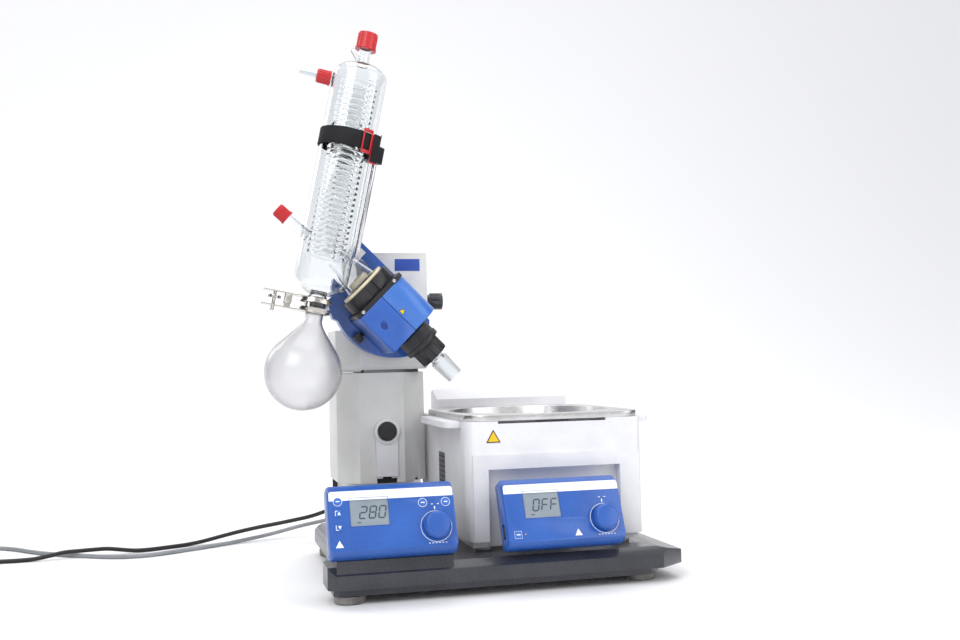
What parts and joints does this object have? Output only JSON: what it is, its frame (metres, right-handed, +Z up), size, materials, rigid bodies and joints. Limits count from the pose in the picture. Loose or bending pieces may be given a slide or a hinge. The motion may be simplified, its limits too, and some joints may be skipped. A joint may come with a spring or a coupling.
{
  "type": "rotary_evaporator",
  "caption": "Bench rotary evaporator with an upright glass condenser, receiving flask, tilting drive head, lift tower, heated bath and sloping control panels on a base plate.",
  "frame": {"origin": "bottom centre of the stand: midway between its leftmost and rightmost pieces and between its foremost and rearmost, at table height", "axes": "+X right along the base, +Y back away from the control panels, +Z up"},
  "size_m": [1.162, 0.8466, 0.8143],
  "materials": {
    "slate_paint": "fine textured",
    "foot_metal": "knurled satin",
    "grey_moulding": "fine textured",
    "machined_steel": "machined",
    "cast_alloy": "cast and machined",
    "console_blue": "satin moulded",
    "deep_blue": "satin moulded",
    "key_white": "satin",
    "display_glass": "clear over a grey-green display",
    "off_white": "powder coated",
    "basin_steel": "satin",
    "heater_alloy": "oxidised sheath",
    "black_plastic": "moulded",
    "cord_black": "matt sheath",
    "cord_grey": "matt sheath",
    "winding": "enamelled copper on steel",
    "seal": "moulded",
    "borosilicate": "clear polished",
    "cap_red": "satin moulded",
    "nipple_clear": "translucent",
    "chrome_rod": "polished",
    "strap_textile": "hook and loop webbing",
    "clamp_steel": "zinc plated"
  },
  "bodies": {
    "base": {"base_plate": "slate_paint", "levelling_feet": "foot_metal", "tower_shell": "grey_moulding", "tower_rear_cover": "slate_paint", "tower_frame": "machined_steel", "drive_panel_case": "console_blue", "drive_display": "display_glass", "drive_cord_gland": "black_plastic", "drive_cord": "cord_black", "drive_cord_coil": "cord_black", "drive_plug": "black_plastic"},
    "screw": {"lift_screw": "machined_steel"},
    "speed_stem": {"speed_shaft": "machined_steel"},
    "speed_dial": {"speed_knob": "console_blue"},
    "timer_button": {"timer_key": "key_white"},
    "up_button": {"lift_up_key": "key_white"},
    "down_button": {"lift_down_key": "key_white"},
    "interval_button": {"interval_key": "key_white"},
    "mode_button": {"mode_key": "key_white"},
    "bath": {"bath_housing": "off_white", "bath_basin": "basin_steel", "bath_heater": "heater_alloy", "bath_panel_case": "console_blue", "bath_display": "display_glass", "bath_cord_gland": "black_plastic", "bath_cord": "cord_grey", "bath_cord_coil": "cord_grey", "bath_plug": "cord_grey"},
    "bath_stem": {"bath_shaft": "machined_steel"},
    "bath_dial": {"bath_knob": "console_blue"},
    "bath_button": {"bath_key": "key_white"},
    "bath_rocker": {"bath_switch": "black_plastic"},
    "end_stop": {"stop_slider": "off_white"},
    "stop_release": {"stop_button": "black_plastic"},
    "lift": {"lift_sleeve": "grey_moulding", "lift_column": "cast_alloy", "lift_carriage": "cast_alloy"},
    "tilt_lock": {"tilt_knob": "black_plastic"},
    "head": {"head_arm": "console_blue", "head_case": "deep_blue", "head_cover": "console_blue", "head_motor": "winding", "head_flange": "black_plastic", "vapour_seal": "seal", "condenser_jacket": "borosilicate", "condenser_coil": "borosilicate", "screw_caps": "cap_red", "hose_nipple": "nipple_clear", "support_rod": "chrome_rod", "rod_holder": "black_plastic", "strap": "strap_textile", "clamp_fixed_jaw": "clamp_steel", "receiving_flask": "borosilicate"},
    "coupling_nut": {"union_nut": "black_plastic"},
    "spindle": {"vapour_tube": "borosilicate", "spindle_hub": "black_plastic"},
    "push_nut": {"push_off_nut": "black_plastic"},
    "lock_button": {"spindle_lock": "black_plastic"},
    "clamp_jaw": {"clamp_swing_jaw": "clamp_steel"},
    "clamp_wheel": {"clamp_nut": "clamp_steel"}
  },
  "joints": [
    {"name": "lift_slide", "type": "slide", "parent": "base", "child": "lift", "axis": [0, 0, 1], "range_m": [0, 0.14]},
    {"name": "lift_screw_turn", "type": "hinge", "parent": "base", "child": "screw", "pos_m": [-0.07584, 0.16031, 0.2], "axis": [0, 0, 1], "range_deg": [0, 5041]},
    {"name": "head_tilt", "type": "hinge", "parent": "lift", "child": "head", "pos_m": [-0.07834, -0.00169, 0.418], "axis": [0, 1, 0], "range_deg": [-44, 1]},
    {"name": "tilt_lock_turn", "type": "hinge", "parent": "lift", "child": "tilt_lock", "pos_m": [-0.02134, 0.10231, 0.411], "axis": [1, 0, 0], "range_deg": [0, 270]},
    {"name": "spindle_turn", "type": "hinge", "parent": "head", "child": "spindle", "pos_m": [-0.0753, -0.00169, 0.37027], "axis": [0.7071, 0, -0.7071], "continuous": true},
    {"name": "push_nut_turn", "type": "hinge", "parent": "spindle", "child": "push_nut", "pos_m": [-0.04419, -0.00169, 0.33916], "axis": [0.7071, 0, -0.7071], "range_deg": [0, 540]},
    {"name": "union_nut_turn", "type": "hinge", "parent": "head", "child": "coupling_nut", "pos_m": [-0.13449, -0.00169, 0.42945], "axis": [0.7071, 0, -0.7071], "range_deg": [0, 360]},
    {"name": "spindle_lock_push", "type": "slide", "parent": "head", "child": "lock_button", "axis": [0.7071, 0, 0.7071], "range_m": [0, 0.0045], "stiffness_N_per_m": 600},
    {"name": "clamp_swing", "type": "hinge", "parent": "head", "child": "clamp_jaw", "pos_m": [-0.24701, -0.00169, 0.40882], "axis": [0, 1, 0], "range_deg": [0, 12], "stiffness_Nm_per_rad": 2.5, "springref_deg": -5.73},
    {"name": "clamp_nut_turn", "type": "hinge", "parent": "head", "child": "clamp_wheel", "pos_m": [-0.26699, -0.00169, 0.41095], "axis": [0.2045, 0, 0.9789], "range_deg": [0, 1080]},
    {"name": "stop_slide", "type": "slide", "parent": "base", "child": "end_stop", "axis": [0, 0, 1], "range_m": [-0.055, 0]},
    {"name": "stop_release_push", "type": "slide", "parent": "end_stop", "child": "stop_release", "axis": [0, 1, 0], "range_m": [0, 0.003], "stiffness_N_per_m": 700},
    {"name": "speed_push", "type": "slide", "parent": "base", "child": "speed_stem", "axis": [0, 0.9164, -0.4003], "range_m": [0, 0.0011], "stiffness_N_per_m": 1500},
    {"name": "speed_turn", "type": "hinge", "parent": "speed_stem", "child": "speed_dial", "pos_m": [-0.07734, -0.22031, 0.09892], "axis": [0, -0.9164, 0.4003], "continuous": true},
    {"name": "timer_key_push", "type": "slide", "parent": "base", "child": "timer_button", "axis": [0, 0.9164, -0.4003], "range_m": [0, 0.0006], "stiffness_N_per_m": 800},
    {"name": "lift_up_key_push", "type": "slide", "parent": "base", "child": "up_button", "axis": [0, 0.9164, -0.4003], "range_m": [0, 0.0006], "stiffness_N_per_m": 800},
    {"name": "lift_down_key_push", "type": "slide", "parent": "base", "child": "down_button", "axis": [0, 0.9164, -0.4003], "range_m": [0, 0.0006], "stiffness_N_per_m": 800},
    {"name": "interval_key_push", "type": "slide", "parent": "base", "child": "interval_button", "axis": [0, 0.9164, -0.4003], "range_m": [0, 0.0006], "stiffness_N_per_m": 800},
    {"name": "mode_key_push", "type": "slide", "parent": "base", "child": "mode_button", "axis": [0, 0.9164, -0.4003], "range_m": [0, 0.0006], "stiffness_N_per_m": 800},
    {"name": "bath_slide", "type": "slide", "parent": "base", "child": "bath", "axis": [1, 0, 0], "range_m": [0, 0.028]},
    {"name": "bath_push", "type": "slide", "parent": "bath", "child": "bath_stem", "axis": [0, 0.9164, -0.4003], "range_m": [0, 0.0011], "stiffness_N_per_m": 1500},
    {"name": "bath_turn", "type": "hinge", "parent": "bath_stem", "child": "bath_dial", "pos_m": [0.15916, -0.21471, 0.09522], "axis": [0, -0.9164, 0.4003], "continuous": true},
    {"name": "bath_key_push", "type": "slide", "parent": "bath", "child": "bath_button", "axis": [0, 0.9164, -0.4003], "range_m": [0, 0.0006], "stiffness_N_per_m": 800},
    {"name": "bath_switch_rock", "type": "hinge", "parent": "bath", "child": "bath_rocker", "pos_m": [0.02316, -0.20508, 0.08228], "axis": [0, -0.9164, 0.4003], "range_deg": [-8, 8]}
  ],
  "couplings": [
    {"joint": "lift_screw_turn", "follows": "lift_slide", "rad_per_m": 628.32}
  ]
}
